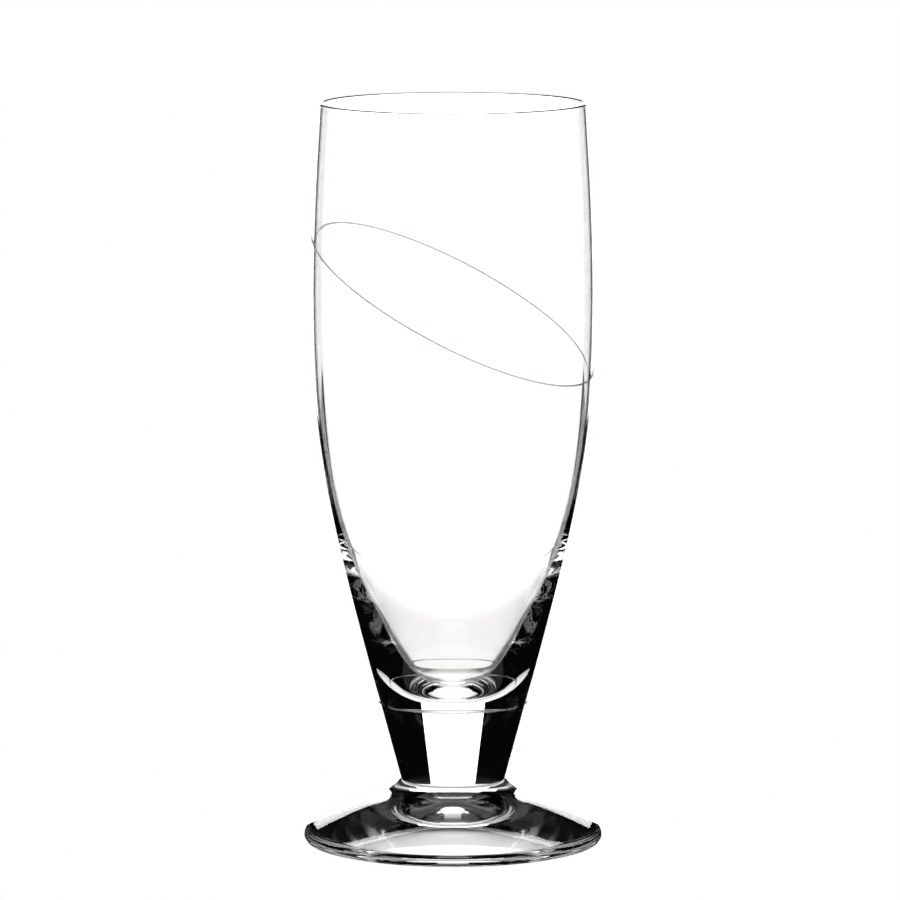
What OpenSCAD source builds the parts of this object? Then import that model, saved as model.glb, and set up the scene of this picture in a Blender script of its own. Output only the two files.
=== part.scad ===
// Iced beverage glass: a mouth-blown bowl on a short solid stem and a wide foot, with fine applied threads.
// Millimetres, +Z up. The origin is the centre of the foot's resting plane.

/* [Overall] */
// Height from the table to the top of the rim
glass_h = 200; // [185:1:225]

/* [Bowl] */
// Outside radius at the widest part
belly_r = 37.95; // [36:0.05:42]
// Distance by which the rim's outside lies in from the widest part
rim_inset = 2.1; // [0.5:0.05:4]
// Height of the widest part above the table
belly_z = 147; // [135:1:158]
// Wall at the rim, rounded off at the top
rim_wall = 0.9; // [0.7:0.05:1.6]
// Wall at the widest part
belly_wall = 0.9; // [0.7:0.05:1.6]
// Inward lean of the wall at the rim, in degrees
rim_lean = 2.85; // [1:0.05:6]
// Glass between the joint and the floor of the hollow
bottom_t = 2.1; // [1.5:0.1:8]
// Radius of the hollow where its straight side turns into its rounded bottom
hollow_corner_r = 21.2; // [19:0.1:22.5]
// Height of that turn above the floor of the hollow
hollow_corner_h = 20.6; // [18:0.1:24]
// Outward lean of the hollow's side above the turn, in degrees
hollow_lean = 25; // [20:0.5:28]

/* [Stem] */
// Radius of the waist where the stem meets the foot
waist_r = 14.15; // [11:0.05:16]
// Outward lean of the stem's side, in degrees
stem_lean = 15.35; // [12:0.05:17]
// Height of the stem from the waist to its joint with the bowl
stem_h = 21; // [15:0.5:26]

/* [Foot] */
// Radius of the foot
foot_r = 40.5; // [36:0.1:46]
// Rounding of the foot's edge, half of the edge's thickness
foot_edge_r = 1.75; // [1:0.05:2.2]
// Slope of the foot's upper side, in degrees
foot_slope = 26; // [18:0.5:30]
// Radius at which the slope turns up into the collar
collar_r = 18.7; // [17:0.1:21]
// Height of the collar from the end of the slope to the waist
collar_h = 3.55; // [2.5:0.05:6]
// Slope of the collar where it leaves the waist, in degrees
collar_dip = 52; // [45:1:72]
// Width of the flat ring that the glass rests on
rest_w = 1.2; // [0.8:0.1:4]
// Rise of the hollow under the foot
foot_hollow_h = 9.4; // [5:0.1:10.5]
// Slope of that hollow where it leaves the resting ring, in degrees
foot_hollow_slope = 19.5; // [14:0.5:24]

/* [Threads] */
// Width of an applied thread
thread_w = 0.5; // [0.4:0.05:1]
// Height of an applied thread above the glass under it
thread_h = 0.25; // [0.15:0.05:0.5]
// Height of the bowl's thread above the table, at the axis
hoop_z = 146; // [125:1:160]
// Slant of the bowl's thread, in degrees
hoop_slant = 28; // [0:0.5:32]
// Side on which the bowl's thread is highest, in degrees from +X
hoop_turn = 155; // [0:1:359]

/* [Curves] */
// Length over which the outside keeps the stem's lean
side_pull = 77.5; // [65:0.5:85]
// Length over which the outside stays upright below the widest part
belly_pull_down = 38.8; // [25:0.1:50]
// Length over which the wall stays upright above the widest part
belly_pull_up = 24; // [15:0.5:26]
// Length over which the wall keeps its lean below the rim
rim_pull = 8; // [5:0.5:12]
// Length over which the hollow stays upright below the widest part
hollow_belly_pull = 54; // [40:0.5:60]
// Length over which the hollow's side keeps its lean above the turn
hollow_side_pull = 12; // [4:0.5:14]
// Length over which the turn keeps that lean on its way to the floor
hollow_turn_pull = 21.5; // [14:0.5:22]
// Length over which the hollow's floor stays level
hollow_floor_pull = 8.5; // [5:0.5:13]
// Length over which the collar keeps its direction at each of its ends
collar_pull = 2; // [1:0.1:3]
// Length over which the hollow under the foot keeps its slope above the resting ring
foot_hollow_edge_pull = 17.5; // [10:0.5:20]
// Length over which the top of the hollow under the foot stays level
foot_hollow_top_pull = 9; // [4:0.5:14]

/* [Hidden] */
$fn = 180;
glass_color = [0.86, 0.91, 0.92, 0.45];
thread_color = [0.74, 0.81, 0.83, 0.8];

// Segments of a curve and of a small rounding
curve_n = 28;
edge_n = 10;
round_step = 180 / edge_n;

// The foot's edge is a round of foot_edge_r that the slope leaves at a tangent
edge_c = [foot_r - foot_edge_r, foot_edge_r];
slope_foot = edge_c + foot_edge_r * [sin(foot_slope), cos(foot_slope)];
slope_top = [collar_r, slope_foot[1] + (slope_foot[0] - collar_r) * tan(foot_slope)];
rest_r = edge_c[0] - rest_w;

// Heights that follow from the foot up
waist_z = slope_top[1] + collar_h;
joint_z = waist_z + stem_h;
hollow_floor_z = joint_z + bottom_t;
rim_r = belly_r - rim_inset;
rim_round_r = rim_wall / 2;
rim_z = glass_h - rim_round_r;

// Point of a cubic curve k: an end point, two handles and the other end point
function curve_point(k, t) =
    pow(1 - t, 3) * k[0] + 3 * pow(1 - t, 2) * t * k[1] + 3 * (1 - t) * t * t * k[2] + t * t * t * k[3];
// Points along a curve; one that goes on from another leaves out its first point
function curve(k, t0 = 0, t1 = 1) =
    [for (i = [0 : curve_n]) curve_point(k, t0 + (t1 - t0) * i / curve_n)];
function curve_on(k, t0 = 0, t1 = 1) =
    [for (i = [1 : curve_n]) curve_point(k, t0 + (t1 - t0) * i / curve_n)];
function arc(c, r, a0, a1, n) =
    [for (i = [0 : n]) c + r * [cos(a0 + (a1 - a0) * i / n), sin(a0 + (a1 - a0) * i / n)]];
// Direction that leans outward from upright
function leaning(deg) = [sin(deg), cos(deg)];
// Place on a rising curve where it reaches height z
function curve_at(k, z, lo = 0, hi = 1, steps = 40) =
    steps == 0 ? (lo + hi) / 2
    : curve_point(k, (lo + hi) / 2)[1] < z ? curve_at(k, z, (lo + hi) / 2, hi, steps - 1)
    : curve_at(k, z, lo, (lo + hi) / 2, steps - 1);

// Outside of the glass: one curve from the waist to the widest part, one from there to the rim
waist = [waist_r, waist_z];
belly = [belly_r, belly_z];
rim = [rim_r, rim_z];
side_k = [waist, waist + side_pull * leaning(stem_lean), belly - [0, belly_pull_down], belly];
upper_k = [belly, belly + [0, belly_pull_up], rim - rim_pull * leaning(-rim_lean), rim];
joint_t = curve_at(side_k, joint_z);
function outside_r(z) = curve_point(side_k, curve_at(side_k, z))[0];

// Inside of the bowl: rim to widest part, down to the turn, and in over the floor
belly_in = belly - [belly_wall, 0];
rim_in = rim - [rim_wall, 0];
turn = [hollow_corner_r, hollow_floor_z + hollow_corner_h];
turn_way = leaning(hollow_lean);
hollow_floor = [0, hollow_floor_z];
inside_upper_k = [rim_in, rim_in - rim_pull * leaning(-rim_lean), belly_in + [0, belly_pull_up], belly_in];
inside_side_k = [belly_in, belly_in - [0, hollow_belly_pull], turn + hollow_side_pull * turn_way, turn];
inside_floor_k = [turn, turn - hollow_turn_pull * turn_way, hollow_floor + [hollow_floor_pull, 0], hollow_floor];

// Collar: leaves the foot's slope at a tangent and ends at the waist
collar_k = [
    slope_top,
    slope_top + collar_pull * [-cos(foot_slope), sin(foot_slope)],
    waist + collar_pull * [cos(collar_dip), -sin(collar_dip)],
    waist
];

bowl_outside = concat(curve(side_k, joint_t, 1), curve_on(upper_k));

// Hollow under the foot: a rounded cone that rises from the inner edge of the resting ring
rest_edge = [rest_r, 0];
foot_hollow_top = [0, foot_hollow_h];
foot_hollow_way = [-cos(foot_hollow_slope), sin(foot_hollow_slope)];
underside_k = [
    foot_hollow_top,
    foot_hollow_top + [foot_hollow_top_pull, 0],
    rest_edge + foot_hollow_edge_pull * foot_hollow_way,
    rest_edge
];

module bowl() {
    inside = concat(curve_on(inside_upper_k), curve_on(inside_side_k), curve_on(inside_floor_k));
    rim_round = arc(rim - [rim_round_r, 0], rim_round_r, round_step, 180, edge_n - 1);
    color(glass_color)
        rotate_extrude()
            polygon(concat([[0, joint_z]], bowl_outside, rim_round, inside));
}

module stem() {
    color(glass_color)
        rotate_extrude()
            polygon(concat([[0, waist_z]], curve(side_k, 0, joint_t), [[0, joint_z]]));
}

module foot() {
    edge = arc(edge_c, foot_edge_r, -90, 90 - foot_slope, edge_n);
    color(glass_color)
        rotate_extrude()
            polygon(concat(curve(underside_k), edge, curve(collar_k), [[0, waist_z]]));
}

// A level slice of the thread, turned to its slant, meets a thin skin over the bowl's outside
module bowl_thread() {
    skin = [for (p = bowl_outside) p + [thread_h, 0]];
    skin_back = [for (i = [len(bowl_outside) - 1 : -1 : 0]) bowl_outside[i]];
    slice_r = (belly_r + thread_h) / cos(hoop_slant) + thread_w;
    color(thread_color)
        intersection() {
            rotate_extrude()
                polygon(concat(skin, skin_back));
            translate([0, 0, hoop_z])
                rotate([0, 0, hoop_turn])
                    rotate([0, -hoop_slant, 0])
                        cylinder(h = thread_w, r = slice_r, center = true);
        }
}

// A level thread over the joint, half of it on the bowl and half on the stem
module joint_thread() {
    ridge = [for (i = [0 : edge_n])
        let (a = i * round_step - 90, z = joint_z + thread_w / 2 * sin(a))
            [outside_r(z) + thread_h * cos(a), z]];
    color(thread_color)
        rotate_extrude()
            polygon(concat(ridge, [[outside_r(joint_z), joint_z]]));
}

bowl();
stem();
foot();
bowl_thread();
joint_thread();
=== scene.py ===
"""Looks of the iced beverage glass: clear blown glass on a pale floor, lit as a bright field."""
import math

import bpy
from mathutils import Euler, Matrix, Vector


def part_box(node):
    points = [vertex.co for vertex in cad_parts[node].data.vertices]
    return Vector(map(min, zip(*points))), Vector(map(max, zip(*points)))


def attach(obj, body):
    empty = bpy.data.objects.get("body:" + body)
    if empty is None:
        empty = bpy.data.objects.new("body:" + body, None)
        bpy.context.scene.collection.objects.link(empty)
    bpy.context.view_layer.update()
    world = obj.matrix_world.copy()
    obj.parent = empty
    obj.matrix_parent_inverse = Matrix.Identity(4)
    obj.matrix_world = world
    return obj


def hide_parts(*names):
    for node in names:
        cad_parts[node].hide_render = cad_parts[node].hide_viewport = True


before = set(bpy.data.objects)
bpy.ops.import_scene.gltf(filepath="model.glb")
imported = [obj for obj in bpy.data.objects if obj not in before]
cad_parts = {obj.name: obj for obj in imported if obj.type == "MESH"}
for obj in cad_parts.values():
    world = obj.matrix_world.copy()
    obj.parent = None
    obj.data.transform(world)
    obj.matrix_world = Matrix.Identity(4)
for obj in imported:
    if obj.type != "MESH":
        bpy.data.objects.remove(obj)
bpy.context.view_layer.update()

MM = 0.001

# Sizes that the frame gives
GLASS_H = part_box("bowl")[1].z
JOINT_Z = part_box("bowl")[0].z
JOINT_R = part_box("stem")[1].x
WAIST_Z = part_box("stem")[0].z
FOOT_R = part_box("foot")[1].x

# Bowl, outside and inside, as the solids have them
BELLY_R = 37.95 * MM
BELLY_Z = 147 * MM
RIM_INSET = 2.1 * MM
RIM_WALL = 0.9 * MM
BELLY_WALL = 0.9 * MM
RIM_LEAN = math.radians(2.85)
BOTTOM_T = 2.1 * MM
HOLLOW_CORNER_R = 21.2 * MM
HOLLOW_CORNER_H = 20.6 * MM
HOLLOW_LEAN = math.radians(25)
BELLY_PULL_DOWN = 38.8 * MM
BELLY_PULL_UP = 24 * MM
RIM_PULL = 8 * MM
HOLLOW_BELLY_PULL = 54 * MM
HOLLOW_SIDE_PULL = 12 * MM
HOLLOW_TURN_PULL = 21.5 * MM
HOLLOW_FLOOR_PULL = 8.5 * MM

# Stem
WAIST_R = 14.15 * MM
STEM_LEAN = math.radians(15.35)
SIDE_PULL = 77.5 * MM

# Foot
FOOT_EDGE_R = 1.75 * MM
FOOT_SLOPE = math.radians(26)
COLLAR_R = 18.7 * MM
COLLAR_DIP = math.radians(52)
COLLAR_PULL = 2 * MM
REST_W = 1.2 * MM
FOOT_HOLLOW_H = 9.4 * MM
FOOT_HOLLOW_SLOPE = math.radians(19.5)
FOOT_HOLLOW_EDGE_PULL = 17.5 * MM
FOOT_HOLLOW_TOP_PULL = 9 * MM

# Threads
THREAD_W = 0.5 * MM
THREAD_H = 0.25 * MM
HOOP_Z = 146 * MM
HOOP_SLANT = math.radians(28)
HOOP_TURN = math.radians(155)

# Fineness of the meshes
TURN_STEPS = 192                 # segments around the axis
CURVE_STEPS = 24                 # segments along each curve of an outline
RING_STEPS = 16                  # segments around the joint's thread
HOOP_BEVEL = 4                   # steps in each quarter of the hoop's section
HALVINGS = 50                    # steps of a search for a height on a curve
HOOP_ROUNDS = 30                 # steps that settle the hoop on the bowl
ROUND = 0.5523                   # handle of a quarter circle, as a share of its radius
SAME_PLACE = 1e-6
SHARP_TURN = math.radians(40)

# Glass, with patterns in repeats per metre
GLASS_IOR = 1.52
TINT_CLOUDS = 18.0
SWELLS = 32.0
RIPPLES = 110.0
RIPPLE_SHARE = 0.12
SMEARS = 60.0
SMEAR_TWIST = 1.5
SMEAR_ENDS = (0.55, 0.75)        # from no smear to a full one
SPECKS = 900.0
SPECK_ENDS = (0.68, 0.74)
PALEST_TINT = (1, 1, 1)
BOWL_TINT = (0.99, 0.995, 0.993)
STEM_TINT = (0.985, 0.99, 0.988)
FOOT_TINT = (0.985, 0.99, 0.988)
THREAD_PALE_TINT = (0.66, 0.69, 0.7)
THREAD_DEEP_TINT = (0.5, 0.54, 0.55)
BOWL_UPRIGHT = 0.55              # swells along the axis, against those across it
STEM_UPRIGHT = 0.1
FOOT_UPRIGHT = 1.0
THREAD_UPRIGHT = 3.0
BOWL_SWELL_H = 0.008 * MM
STEM_SWELL_H = 0.01 * MM
FOOT_SWELL_H = 0.03 * MM
THREAD_SWELL_H = 0.05 * MM
HANDLED = 0.02                   # roughness of a smear
THREAD_HANDLED = 0.05
SPOKE_SPREAD = (7, 7, 7)         # marks of spreading around the foot
SPOKE_DRIFT = 40.0               # and along its radius
SPOKE_SHARE = 0.35
TOOL_LINES = 1400.0
TOOL_SHARE = 0.12
TOOL_LOW_Z = 13 * MM
TOOL_FULL_Z = 15 * MM
WORN_TOP_Z = 0.2 * MM
WORN_FULL_Z = 0.02 * MM
WORN_ROUGHNESS = 0.12

# Floor with painted light and shade, which only light through the glass meets: a glowing sheet, no lamp
PAINTED_LIGHT_FLOOR_Z = -0.1 * MM
PAINTED_LIGHT_FLOOR_R = 228 * MM
PAINTED_LIGHT_FLOOR_COLOR = (1, 0.985, 0.975)
NEAR_FLOOR_GLOW = 1.1
NEAR_FLOOR_R = 125 * MM          # from here to its edge the painted light brightens to the back panel's glow
# Painted contact shadow around the foot's edge hands over to the far floor between these radii
FOOT_SHADE_R = 40.5 * MM
FOOT_SHADE_END_R = 42.5 * MM
SIDE_SHADE = math.radians(27)    # from the line to the camera to where the painted shade of the cards on the floor begins
SIDE_SHADE_FULL = math.radians(34)
SIDE_SHADE_PART = 0.02           # light that is left in that painted shade
PAINTED_UNDER_FOOT_GLOW = 1.1            # painted pool of light in the middle, where light falls through the hollow
UNDER_FOOT_FULL_R = 18 * MM
UNDER_FOOT_DARK_R = 34 * MM
PAINTED_CONTACT_SHADOW_GLOW = 0.03              # painted contact shadow where the foot touches the floor
PAINTED_BEAM_GLOW = 0.45                 # painted pool of light behind the middle, where the foot gathers light from the panels
BEAM_HALF_W = 12 * MM
BEAM_START = 10 * MM             # behind the axis
BEAM_FULL = 30 * MM

# Pale floor, panels, cards and room
PALE_FLOOR_W = 40
PANEL_WAY = 4.0                  # from the glass to the panels
BACK_PANEL_HALF_W = 1.3
BACK_PANEL_LOW = -0.8            # heights of the panels are from the camera's axis
BACK_PANEL_HIGH = 1.5
BACK_PANEL_GLOW = 2.0
HIGH_PANEL_HALF_W = 0.8
HIGH_PANEL_TOP = 4.8
HIGH_PANEL_DIM = 4.2             # above this height the high panel gives its least light
HIGH_PANEL_GLOW = 1.35
HIGH_PANEL_LEAST_GLOW = 0.13
CARD_OUT = 64 * MM               # from the glass's axis to a card
CARD_NEAR = -300 * MM            # from the axis towards the camera, and away from it
CARD_FAR = 211 * MM
CARD_H = 100 * MM
ROOM_GLOW = 0.0015

# Camera
CAMERA_PLACE = Vector((-0.0008, -1.7981, 0.3480))
CAMERA_DIP = math.radians(7.654)
CAMERA_LENS = 269.95
CAMERA_SENSOR = 36
CAMERA_REACH = 100
CAMERA_TO_GLASS = 1.815
LIGHT_BOUNCES = 32

scene = bpy.context.scene


def leaning(angle):
    """Unit step in the outline's plane, (radius, height), that leans outward by angle from upright."""
    return Vector((math.sin(angle), math.cos(angle)))


def line(a, b):
    """Straight stretch of an outline."""
    return [a, a.lerp(b, 1 / 3), a.lerp(b, 2 / 3), b]


def curve_point(k, t):
    """Point of the cubic curve k at t."""
    s = 1 - t
    return s ** 3 * k[0] + 3 * s * s * t * k[1] + 3 * s * t * t * k[2] + t ** 3 * k[3]


def place_at_height(k, z):
    """Place t on a rising curve where it reaches height z."""
    low, high = 0.0, 1.0
    for _ in range(HALVINGS):
        middle = (low + high) / 2
        if curve_point(k, middle)[1] < z:
            low = middle
        else:
            high = middle
    return (low + high) / 2


def cut_curve(k, t):
    """The two parts of a cubic curve cut at t."""
    a, b, c = (k[i].lerp(k[i + 1], t) for i in range(3))
    d, e = a.lerp(b, t), b.lerp(c, t)
    middle = d.lerp(e, t)
    return [k[0], a, d, middle], [middle, e, c, k[3]]


# Outlines that more than one piece needs, as (radius, height)
waist = Vector((WAIST_R, WAIST_Z))
belly = Vector((BELLY_R, BELLY_Z))
rim_round_r = RIM_WALL / 2
rim = Vector((BELLY_R - RIM_INSET, GLASS_H - rim_round_r))
side = [waist, waist + SIDE_PULL * leaning(STEM_LEAN), belly - Vector((0, BELLY_PULL_DOWN)), belly]
upper = [belly, belly + Vector((0, BELLY_PULL_UP)), rim - RIM_PULL * leaning(-RIM_LEAN), rim]
stem_side, bowl_side = cut_curve(side, place_at_height(side, JOINT_Z))
joint = bowl_side[0]


def turned_piece(name, outline):
    """Draws an outline as a curve, makes it a mesh and spins it around the glass's axis."""
    bpy.ops.object.select_all(action="DESELECT")
    bpy.ops.curve.primitive_bezier_curve_add(location=(0, 0, 0))
    drawn = bpy.context.object
    drawn.name = name
    spline = drawn.data.splines[0]
    spline.bezier_points.add(len(outline) + 1 - len(spline.bezier_points))
    spline.resolution_u = CURVE_STEPS
    for i, point in enumerate(spline.bezier_points):
        before = outline[i - 1] if i else None
        after = outline[i] if i < len(outline) else None
        here = after[0] if after else before[3]
        point.handle_left_type = point.handle_right_type = "FREE"
        point.co = (here[0], 0, here[1])
        left = before[2] if before else here
        right = after[1] if after else here
        point.handle_left = (left[0], 0, left[1])
        point.handle_right = (right[0], 0, right[1])
    bpy.ops.object.convert(target="MESH")
    piece = bpy.context.object
    bpy.ops.object.mode_set(mode="EDIT")
    bpy.ops.mesh.select_all(action="SELECT")
    bpy.ops.mesh.spin(steps=TURN_STEPS, angle=math.tau, center=(0, 0, 0), axis=(0, 0, 1))
    bpy.ops.mesh.select_all(action="SELECT")
    bpy.ops.mesh.remove_doubles(threshold=SAME_PLACE)
    bpy.ops.mesh.normals_make_consistent(inside=False)
    bpy.ops.object.mode_set(mode="OBJECT")
    bpy.ops.object.shade_smooth_by_angle(angle=SHARP_TURN)
    return piece


def make_bowl():
    """Bowl: up the outside, over the round rim, and down the hollow to the middle of its floor."""
    rim_in = rim - Vector((RIM_WALL, 0))
    rim_top = rim + Vector((-rim_round_r, rim_round_r))
    grip = ROUND * rim_round_r
    rim_outer = [rim, rim + Vector((0, grip)), rim_top + Vector((grip, 0)), rim_top]
    rim_inner = [rim_top, rim_top - Vector((grip, 0)), rim_in + Vector((0, grip)), rim_in]
    belly_in = belly - Vector((BELLY_WALL, 0))
    below_rim = rim_in - RIM_PULL * leaning(-RIM_LEAN)
    inside_upper = [rim_in, below_rim, belly_in + Vector((0, BELLY_PULL_UP)), belly_in]
    floor_middle = Vector((0, JOINT_Z + BOTTOM_T))
    turn = floor_middle + Vector((HOLLOW_CORNER_R, HOLLOW_CORNER_H))
    way = leaning(HOLLOW_LEAN)
    below_belly = belly_in - Vector((0, HOLLOW_BELLY_PULL))
    inside_side = [belly_in, below_belly, turn + HOLLOW_SIDE_PULL * way, turn]
    floor_level = floor_middle + Vector((HOLLOW_FLOOR_PULL, 0))
    inside_floor = [turn, turn - HOLLOW_TURN_PULL * way, floor_level, floor_middle]
    outside = [line(Vector((0, JOINT_Z)), joint), bowl_side, upper]
    return turned_piece(
        "blown_bowl", outside + [rim_outer, rim_inner, inside_upper, inside_side, inside_floor])


def make_stem():
    """Stem: the lower part of the bowl's own side, closed by a disc at each end."""
    waist_disc = line(Vector((0, WAIST_Z)), waist)
    joint_disc = line(joint, Vector((0, JOINT_Z)))
    return turned_piece("solid_stem", [waist_disc, stem_side, joint_disc])


def make_foot():
    """Foot: out under the hollow, over the resting ring and the round edge, up the slope and the collar."""
    edge = Vector((FOOT_R - FOOT_EDGE_R, FOOT_EDGE_R))
    rest_out = Vector((edge[0], 0))
    rest_in = Vector((edge[0] - REST_W, 0))
    hollow_top = Vector((0, FOOT_HOLLOW_H))
    hollow_way = Vector((-math.cos(FOOT_HOLLOW_SLOPE), math.sin(FOOT_HOLLOW_SLOPE)))
    hollow_level = hollow_top + Vector((FOOT_HOLLOW_TOP_PULL, 0))
    hollow = [hollow_top, hollow_level, rest_in + FOOT_HOLLOW_EDGE_PULL * hollow_way, rest_in]
    edge_mid = edge + Vector((FOOT_EDGE_R, 0))
    grip = ROUND * FOOT_EDGE_R
    edge_low = [rest_out, rest_out + Vector((grip, 0)), edge_mid - Vector((0, grip)), edge_mid]
    up_slope = Vector((-math.cos(FOOT_SLOPE), math.sin(FOOT_SLOPE)))
    slope_foot = edge + FOOT_EDGE_R * Vector((math.sin(FOOT_SLOPE), math.cos(FOOT_SLOPE)))
    span = math.pi / 2 - FOOT_SLOPE
    edge_grip = 4 / 3 * math.tan(span / 4) * FOOT_EDGE_R
    edge_high = [edge_mid, edge_mid + Vector((0, edge_grip)), slope_foot - edge_grip * up_slope, slope_foot]
    slope_top = slope_foot + up_slope * (slope_foot[0] - COLLAR_R) / math.cos(FOOT_SLOPE)
    dip = Vector((math.cos(COLLAR_DIP), -math.sin(COLLAR_DIP)))
    collar = [slope_top, slope_top + COLLAR_PULL * up_slope, waist + COLLAR_PULL * dip, waist]
    waist_disc = line(waist, Vector((0, WAIST_Z)))
    underside = [hollow, line(rest_in, rest_out)]
    upperside = [line(slope_foot, slope_top), collar, waist_disc]
    return turned_piece("spread_foot", underside + [edge_low, edge_high] + upperside)


def outside_radius(z):
    """Radius of the bowl's outside at height z."""
    k = bowl_side if z < BELLY_Z else upper
    return curve_point(k, place_at_height(k, z))[0]


def make_bowl_thread():
    """A circle laid on the bowl along its slant, then given a round section."""
    bpy.ops.object.select_all(action="DESELECT")
    bpy.ops.mesh.primitive_circle_add(vertices=TURN_STEPS, radius=BELLY_R, location=(0, 0, HOOP_Z))
    hoop = bpy.context.object
    hoop.name = "bowl_hoop"
    bpy.ops.object.transform_apply(location=True, rotation=True, scale=True)
    seat = THREAD_H - THREAD_W / 2
    for v in hoop.data.vertices:
        around = math.atan2(v.co.y, v.co.x)
        z = HOOP_Z
        for _ in range(HOOP_ROUNDS):
            z = HOOP_Z + math.tan(HOOP_SLANT) * outside_radius(z) * math.cos(around - HOOP_TURN)
        r = outside_radius(z) + seat
        v.co = (r * math.cos(around), r * math.sin(around), z)
    bpy.ops.object.convert(target="CURVE")
    hoop = bpy.context.object
    hoop.data.bevel_depth = THREAD_W / 2
    hoop.data.bevel_resolution = HOOP_BEVEL
    bpy.ops.object.convert(target="MESH")
    hoop = bpy.context.object
    bpy.ops.object.shade_smooth()
    return hoop


def make_joint_thread():
    """A round ring sunk to half its section in the glass at the joint."""
    bpy.ops.object.select_all(action="DESELECT")
    bpy.ops.mesh.primitive_torus_add(
        major_radius=JOINT_R + THREAD_H - THREAD_W / 2, minor_radius=THREAD_W / 2,
        major_segments=TURN_STEPS, minor_segments=RING_STEPS, location=(0, 0, JOINT_Z))
    ring = bpy.context.object
    ring.name = "joint_ring"
    bpy.ops.object.transform_apply(location=True, rotation=True, scale=True)
    bpy.ops.object.shade_smooth()
    return ring


def node(tree, kind, inputs=None, **settings):
    """Adds a node; inputs gives its sockets values or links, settings its own choices."""
    made = tree.nodes.new(kind)
    for name, value in settings.items():
        setattr(made, name, value)
    for socket, value in (inputs or {}).items():
        if isinstance(value, bpy.types.NodeSocket):
            tree.links.new(value, made.inputs[socket])
        else:
            made.inputs[socket].default_value = value
    return made


def math_node(tree, operation, *values):
    """Result of a sum or another operation on numbers."""
    return node(tree, "ShaderNodeMath", dict(enumerate(values)), operation=operation).outputs[0]


def vector_node(tree, operation, *values):
    """Node for an operation on vectors."""
    return node(tree, "ShaderNodeVectorMath", dict(enumerate(values)), operation=operation)


def object_place(tree):
    """Place on the piece, in its own coordinates."""
    return node(tree, "ShaderNodeTexCoord").outputs["Object"]


def noise(tree, place, scale, detail, twist=0.0):
    """Soft noise at a place."""
    inputs = {"Vector": place, "Scale": scale, "Detail": detail, "Distortion": twist}
    return node(tree, "ShaderNodeTexNoise", inputs).outputs["Fac"]


def ramp(tree, value, low, high, to_low=0.0, to_high=1.0):
    """Eases from to_low at low to to_high at high."""
    ends = {"Value": value, "From Min": low, "From Max": high, "To Min": to_low, "To Max": to_high}
    return node(tree, "ShaderNodeMapRange", ends, interpolation_type="SMOOTHSTEP").outputs["Result"]


def new_group(name, inputs, outputs):
    """Node group with number sockets of these names; gives its tree, its entry and its way out."""
    tree = bpy.data.node_groups.new(name, "ShaderNodeTree")
    for socket in inputs:
        tree.interface.new_socket(socket, in_out="INPUT", socket_type="NodeSocketFloat")
    for socket in outputs:
        tree.interface.new_socket(socket, in_out="OUTPUT", socket_type="NodeSocketFloat")
    return tree, tree.nodes.new("NodeGroupInput"), tree.nodes.new("NodeGroupOutput")


def blown_waviness():
    """Slow swells that a hand-blown surface keeps; Upright squeezes or stretches them along the axis."""
    tree, entry, leave = new_group("blown_waviness", ["Upright"], ["Height"])
    stretch = node(tree, "ShaderNodeCombineXYZ", {"X": 1.0, "Y": 1.0, "Z": entry.outputs["Upright"]})
    drawn = vector_node(tree, "MULTIPLY", object_place(tree), stretch.outputs[0]).outputs[0]
    swell = noise(tree, drawn, SWELLS, 0.0)
    ripple = noise(tree, drawn, RIPPLES, 1.0)
    height = math_node(tree, "MULTIPLY_ADD", ripple, RIPPLE_SHARE, swell)
    tree.links.new(height, leave.inputs["Height"])
    return tree


def handling_marks():
    """Faint smears and specks from washing and wiping."""
    tree, entry, leave = new_group("handling_marks", ["Amount"], ["Roughness"])
    place = object_place(tree)
    smear = ramp(tree, noise(tree, place, SMEARS, 4.0, SMEAR_TWIST), *SMEAR_ENDS)
    speck = ramp(tree, noise(tree, place, SPECKS, 1.0), *SPECK_ENDS)
    both = math_node(tree, "ADD", smear, speck)
    roughness = math_node(tree, "MULTIPLY", both, entry.outputs["Amount"])
    tree.links.new(roughness, leave.inputs["Roughness"])
    return tree


waviness = blown_waviness()
marks = handling_marks()


def grouped(tree, group, output, **inputs):
    """Output of a node group that stands in a material."""
    return node(tree, "ShaderNodeGroup", inputs, node_tree=group).outputs[output]


def new_material(name):
    """New material and its tree."""
    material = bpy.data.materials.new(name)
    material.use_nodes = True
    return material, material.node_tree


def clear_glass(name, deep_tint, pale_tint=PALEST_TINT):
    """Clear glass with a trace of tint that comes and goes; gives the material, its tree and its shader."""
    material, tree = new_material(name)
    shader = tree.nodes["Principled BSDF"]
    shader.inputs["IOR"].default_value = GLASS_IOR
    shader.inputs["Transmission Weight"].default_value = 1.0
    cloud = noise(tree, object_place(tree), TINT_CLOUDS, 2.0)
    # Sockets 0, 6 and 7 of this node are its factor and its two colours
    tint = node(tree, "ShaderNodeMix", {0: cloud, 6: (*pale_tint, 1), 7: (*deep_tint, 1)}, data_type="RGBA")
    tree.links.new(tint.outputs[2], shader.inputs["Base Color"])
    return material, tree, shader


def lay_surface(tree, shader, height, depth, roughness):
    """Bumps the surface by a height of this depth and gives it its roughness."""
    bump = node(tree, "ShaderNodeBump", {"Height": height, "Strength": 1.0, "Distance": depth})
    tree.links.new(bump.outputs["Normal"], shader.inputs["Normal"])
    tree.links.new(roughness, shader.inputs["Roughness"])


def bowl_glass():
    """Blown bowl: long faint swells."""
    material, tree, shader = clear_glass("blown_bowl_glass", BOWL_TINT)
    swell = grouped(tree, waviness, "Height", Upright=BOWL_UPRIGHT)
    handled = grouped(tree, marks, "Roughness", Amount=HANDLED)
    lay_surface(tree, shader, swell, BOWL_SWELL_H, handled)
    return material


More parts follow.
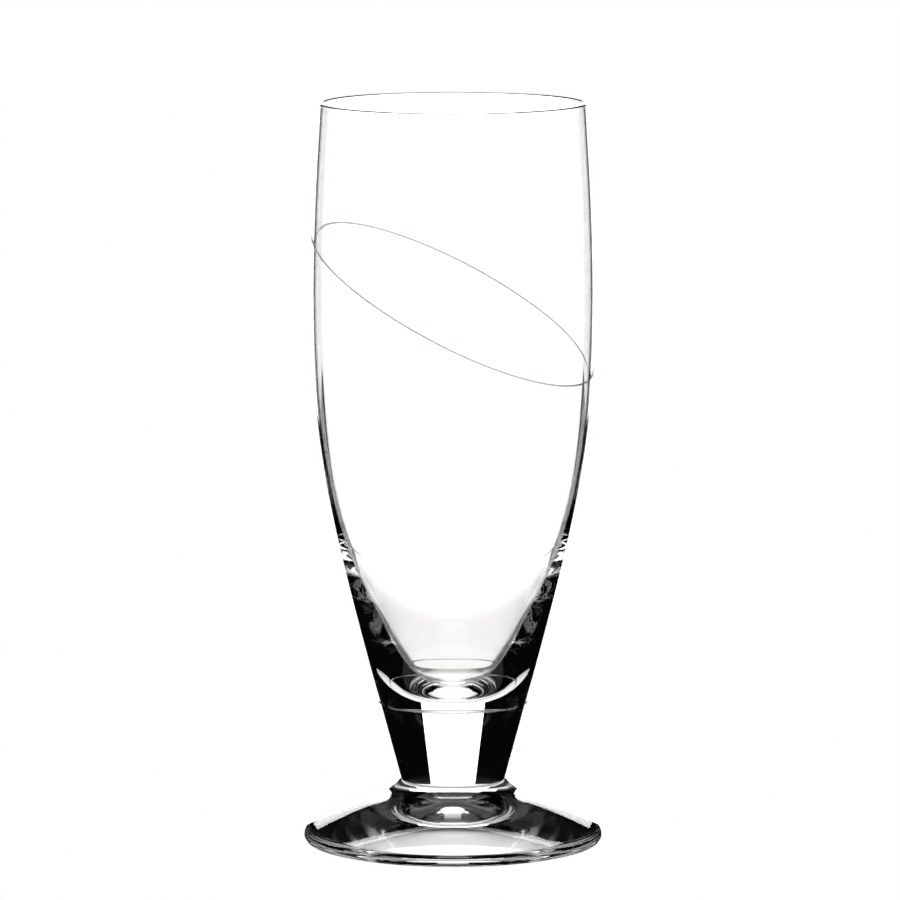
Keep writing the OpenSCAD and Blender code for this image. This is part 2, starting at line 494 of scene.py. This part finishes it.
def stem_glass():
    """The stem is drawn out, so its swells run along the axis."""
    material, tree, shader = clear_glass("drawn_stem_glass", STEM_TINT)
    drawn = grouped(tree, waviness, "Height", Upright=STEM_UPRIGHT)
    handled = grouped(tree, marks, "Roughness", Amount=HANDLED)
    lay_surface(tree, shader, drawn, STEM_SWELL_H, handled)
    return material


def foot_glass():
    """Spread foot: marks of spreading run outward, tool lines ring the collar, the resting ring is worn."""
    material, tree, shader = clear_glass("spread_foot_glass", FOOT_TINT)
    place = object_place(tree)
    high = node(tree, "ShaderNodeSeparateXYZ", {0: place}).outputs["Z"]
    flat = vector_node(tree, "MULTIPLY", place, (1, 1, 0)).outputs[0]
    radius = vector_node(tree, "LENGTH", flat).outputs["Value"]
    around = vector_node(tree, "NORMALIZE", flat).outputs[0]
    drift = node(tree, "ShaderNodeCombineXYZ", {"Z": math_node(tree, "MULTIPLY", radius, SPOKE_DRIFT)})
    spoke_place = vector_node(tree, "MULTIPLY_ADD", around, SPOKE_SPREAD, drift.outputs[0]).outputs[0]
    spokes = noise(tree, spoke_place, 1.0, 1.0)
    rise = node(tree, "ShaderNodeCombineXYZ", {"Z": math_node(tree, "MULTIPLY", high, TOOL_LINES)})
    lines = noise(tree, rise.outputs[0], 1.0, 0.0)
    on_collar = ramp(tree, high, TOOL_LOW_Z, TOOL_FULL_Z)
    tooled = math_node(tree, "MULTIPLY", math_node(tree, "MULTIPLY", lines, on_collar), TOOL_SHARE)
    swell = grouped(tree, waviness, "Height", Upright=FOOT_UPRIGHT)
    spread = math_node(tree, "MULTIPLY_ADD", spokes, SPOKE_SHARE, swell)
    worn = ramp(tree, high, WORN_TOP_Z, WORN_FULL_Z, 0.0, WORN_ROUGHNESS)
    handled = grouped(tree, marks, "Roughness", Amount=HANDLED)
    roughness = math_node(tree, "MAXIMUM", handled, worn)
    lay_surface(tree, shader, math_node(tree, "ADD", spread, tooled), FOOT_SWELL_H, roughness)
    return material


def thread_glass():
    """A thread laid on by hand is never quite even."""
    material, tree, shader = clear_glass("laid_thread_glass", THREAD_DEEP_TINT, THREAD_PALE_TINT)
    swell = grouped(tree, waviness, "Height", Upright=THREAD_UPRIGHT)
    handled = grouped(tree, marks, "Roughness", Amount=THREAD_HANDLED)
    lay_surface(tree, shader, swell, THREAD_SWELL_H, handled)
    return material


def fused_joint():
    """Hidden face where two gathers of glass are melted into one: light goes straight through."""
    material, tree = new_material("fused_joint")
    tree.nodes.remove(tree.nodes["Principled BSDF"])
    through = node(tree, "ShaderNodeBsdfTransparent")
    tree.links.new(through.outputs["BSDF"], tree.nodes["Material Output"].inputs["Surface"])
    return material


joint_face = fused_joint()
thread = thread_glass()


def is_joint_face(face, joints):
    """Whether a face is level and lies at the height of a joint."""
    level = abs(face.normal.z) > 0.99
    return level and any(abs(face.center.z - z) < SAME_PLACE for z in joints)


def finish_piece(piece, glass, node_name, joints=()):
    """Gives a piece its glass, its clear joint faces and its place on the frame."""
    piece.data.materials.clear()
    piece.data.materials.append(glass)
    if joints:
        piece.data.materials.append(joint_face)
    for face in piece.data.polygons:
        if is_joint_face(face, joints):
            face.material_index = 1
    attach(piece, "root")
    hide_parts(node_name)


finish_piece(make_bowl(), bowl_glass(), "bowl", [JOINT_Z])
finish_piece(make_stem(), stem_glass(), "stem", [WAIST_Z, JOINT_Z])
finish_piece(make_foot(), foot_glass(), "foot", [WAIST_Z])
finish_piece(make_bowl_thread(), thread, "bowl_thread")
finish_piece(make_joint_thread(), thread, "joint_thread")


def glow(name, strength=1.0, color=(1, 1, 1)):
    """Material that only gives off light; gives the material, its tree and its light."""
    material, tree = new_material(name)
    tree.nodes.remove(tree.nodes["Principled BSDF"])
    light = node(tree, "ShaderNodeEmission", {"Color": (*color, 1), "Strength": strength})
    tree.links.new(light.outputs[0], tree.nodes["Material Output"].inputs["Surface"])
    return material, tree, light


def make_sheet(name, size, material, camera_sees=False):
    """Flat sheet of the stage, in its own plane."""
    bpy.ops.object.select_all(action="DESELECT")
    bpy.ops.mesh.primitive_plane_add(size=1, location=(0, 0, 0))
    sheet = bpy.context.object
    sheet.name = name
    sheet.scale = (*size, 1)
    bpy.ops.object.transform_apply(location=False, rotation=False, scale=True)
    sheet.data.materials.append(material)
    sheet.visible_camera = camera_sees
    sheet.visible_diffuse = sheet.visible_shadow = False
    return sheet


def make_floor():
    """Plain pale floor that the camera sees."""
    material = glow("pale_floor")[0]
    floor = make_sheet("pale_floor", (PALE_FLOOR_W, PALE_FLOOR_W), material, camera_sees=True)
    floor.visible_transmission = floor.visible_glossy = False


def make_painted_light_floor():
    """Glowing floor sheet as the glass shows it, with painted light and shade: a painted contact shadow
    dark under the foot's edge, painted pools of light bright under its middle and behind it, painted shade
    of the cards at the sides, and painted light that brightens far out.
    """
    material, tree, light = glow("painted_light_floor", color=PAINTED_LIGHT_FLOOR_COLOR)
    place = object_place(tree)
    radius = vector_node(tree, "LENGTH", place).outputs["Value"]
    where = node(tree, "ShaderNodeSeparateXYZ", {0: place}).outputs
    aside = math_node(tree, "ABSOLUTE", where["X"])
    # Painted contact shadow under the foot's edge, painted pool of light under its middle
    under = ramp(tree, radius, UNDER_FOOT_DARK_R, UNDER_FOOT_FULL_R, PAINTED_CONTACT_SHADOW_GLOW, PAINTED_UNDER_FOOT_GLOW)
    # Painted pool of light behind the middle
    behind = ramp(tree, where["Y"], BEAM_START, BEAM_FULL, 0.0, PAINTED_BEAM_GLOW)
    beam = math_node(tree, "MULTIPLY", behind, ramp(tree, aside, BEAM_HALF_W, BEAM_HALF_W / 2))
    far = ramp(tree, radius, NEAR_FLOOR_R, PAINTED_LIGHT_FLOOR_R, NEAR_FLOOR_GLOW, BACK_PANEL_GLOW)
    # Painted shade of the cards on the floor at the sides
    turn = math_node(tree, "ARCTAN2", aside, math_node(tree, "ABSOLUTE", where["Y"]))
    kept = ramp(tree, turn, SIDE_SHADE, SIDE_SHADE_FULL, 1.0, SIDE_SHADE_PART)
    shaded = math_node(tree, "MULTIPLY", far, kept)
    outside = ramp(tree, radius, FOOT_SHADE_R, FOOT_SHADE_END_R)
    inside = math_node(tree, "SUBTRACT", 1.0, outside)
    near = math_node(tree, "MULTIPLY", math_node(tree, "ADD", beam, under), inside)
    tree.links.new(math_node(tree, "MULTIPLY_ADD", outside, shaded, near), light.inputs["Strength"])
    floor = make_sheet("painted_light_floor", (2 * PAINTED_LIGHT_FLOOR_R, 2 * PAINTED_LIGHT_FLOOR_R), material)
    floor.location.z = PAINTED_LIGHT_FLOOR_Z
    floor.visible_glossy = False
    return floor


def make_world():
    """White behind the picture, a dim room for everything that the glass bends or mirrors."""
    scene.world = bpy.data.worlds.new("bright_field")
    scene.world.use_nodes = True
    tree = scene.world.node_tree
    background = tree.nodes["Background"]
    seen = node(tree, "ShaderNodeLightPath").outputs["Is Camera Ray"]
    tree.links.new(ramp(tree, seen, 0.0, 1.0, ROOM_GLOW, 1.0), background.inputs["Strength"])
    background.inputs["Color"].default_value = (1, 1, 1, 1)


def make_camera():
    """Camera at the photograph's angle."""
    bpy.ops.object.camera_add(location=CAMERA_PLACE, rotation=(math.pi / 2 - CAMERA_DIP, 0, 0))
    camera = bpy.context.object
    camera.data.lens = CAMERA_LENS
    camera.data.sensor_width = CAMERA_SENSOR
    camera.data.clip_end = CAMERA_REACH
    scene.camera = camera
    bpy.context.view_layer.update()
    return camera


def turn_to_camera(sheet, camera):
    """Keeps a level sheet turned towards the camera."""
    follow = sheet.constraints.new("LOCKED_TRACK")
    follow.target = camera
    follow.track_axis = "TRACK_NEGATIVE_Y"
    follow.lock_axis = "LOCK_Z"


def hang_panel(name, camera, half_w, low, high, material):
    """Panel square to the camera's axis behind the glass, from low to high about that axis."""
    panel = make_sheet(name, (2 * half_w, high - low), material)
    panel.parent = camera
    panel.location = (0, (low + high) / 2, -CAMERA_TO_GLASS - PANEL_WAY)


def make_panels(camera):
    """Bright panel behind the glass, and one over it that grows dimmer upwards."""
    material = glow("back_panel", BACK_PANEL_GLOW)[0]
    hang_panel("back_panel", camera, BACK_PANEL_HALF_W, BACK_PANEL_LOW, BACK_PANEL_HIGH, material)
    material, tree, light = glow("high_panel")
    up = node(tree, "ShaderNodeSeparateXYZ", {0: object_place(tree)}).outputs["Y"]
    middle = (BACK_PANEL_HIGH + HIGH_PANEL_TOP) / 2
    ends = BACK_PANEL_HIGH - middle, HIGH_PANEL_DIM - middle
    fading = ramp(tree, up, *ends, HIGH_PANEL_GLOW, HIGH_PANEL_LEAST_GLOW)
    tree.links.new(fading, light.inputs["Strength"])
    hang_panel("high_panel", camera, HIGH_PANEL_HALF_W, BACK_PANEL_HIGH, HIGH_PANEL_TOP, material)


def make_cards(camera):
    """Dark cards beside the glass that give it its dark sides; they keep their place to the camera."""
    material = glow("dark_card", ROOM_GLOW)[0]
    to_camera = camera.matrix_world.inverted()
    upright = Euler((math.pi / 2, 0, math.pi / 2)).to_matrix().to_4x4()
    for hand, name in ((-1, "left_card"), (1, "right_card")):
        card = make_sheet(name, (CARD_FAR - CARD_NEAR, CARD_H), material)
        card.parent = camera
        middle = Matrix.Translation((hand * CARD_OUT, (CARD_NEAR + CARD_FAR) / 2, CARD_H / 2))
        card.matrix_local = to_camera @ middle @ upright


# Stage: panels and cards hang on the camera and the floor with painted light and shade turns to it, so each
# view is lit alike
make_floor()
painted_light_floor = make_painted_light_floor()
make_world()
camera = make_camera()
turn_to_camera(painted_light_floor, camera)
make_panels(camera)
make_cards(camera)
scene.view_settings.view_transform = "Standard"
scene.cycles.use_denoising = True
scene.cycles.max_bounces = LIGHT_BOUNCES
scene.cycles.transmission_bounces = LIGHT_BOUNCES
scene.cycles.glossy_bounces = LIGHT_BOUNCES
scene.cycles.transparent_max_bounces = LIGHT_BOUNCES
